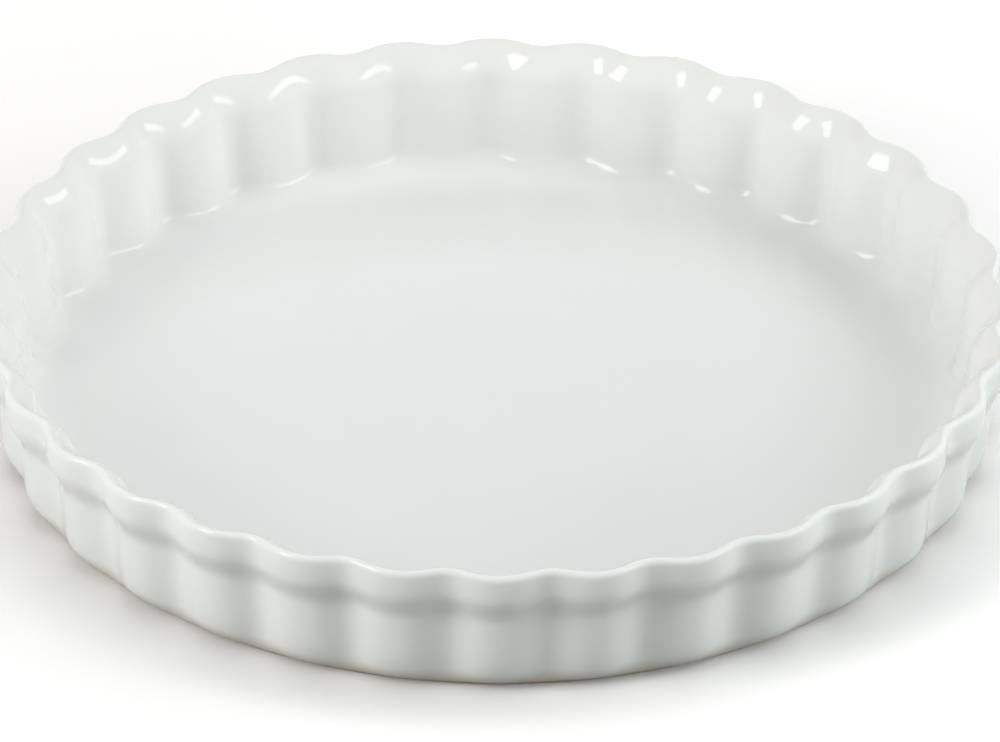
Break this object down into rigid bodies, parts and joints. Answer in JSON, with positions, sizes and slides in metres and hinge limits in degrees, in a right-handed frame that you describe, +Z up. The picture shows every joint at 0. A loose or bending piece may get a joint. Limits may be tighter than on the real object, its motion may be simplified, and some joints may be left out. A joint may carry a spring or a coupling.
{
  "type": "tart dish",
  "caption": "Round fluted tart dish in white glazed stoneware, with an upright wall, a flared rounded rim, a flat baking floor and a bare foot ring to stand on.",
  "frame": {"origin": "on the table, under the middle of the dish", "axes": "+Z up along the axis of the dish; a flute crest faces -Y, which is the side towards the viewer"},
  "size_m": [0.2854, 0.2854, 0.0407],
  "materials": {
    "stoneware": "matte, fired and unglazed",
    "white_glaze": "gloss",
    "underside_glaze": "gloss"
  },
  "bodies": {
    "root": {"stoneware_body": "stoneware", "glaze_coat": "white_glaze", "underside_glaze": "underside_glaze"}
  },
  "joints": []
}
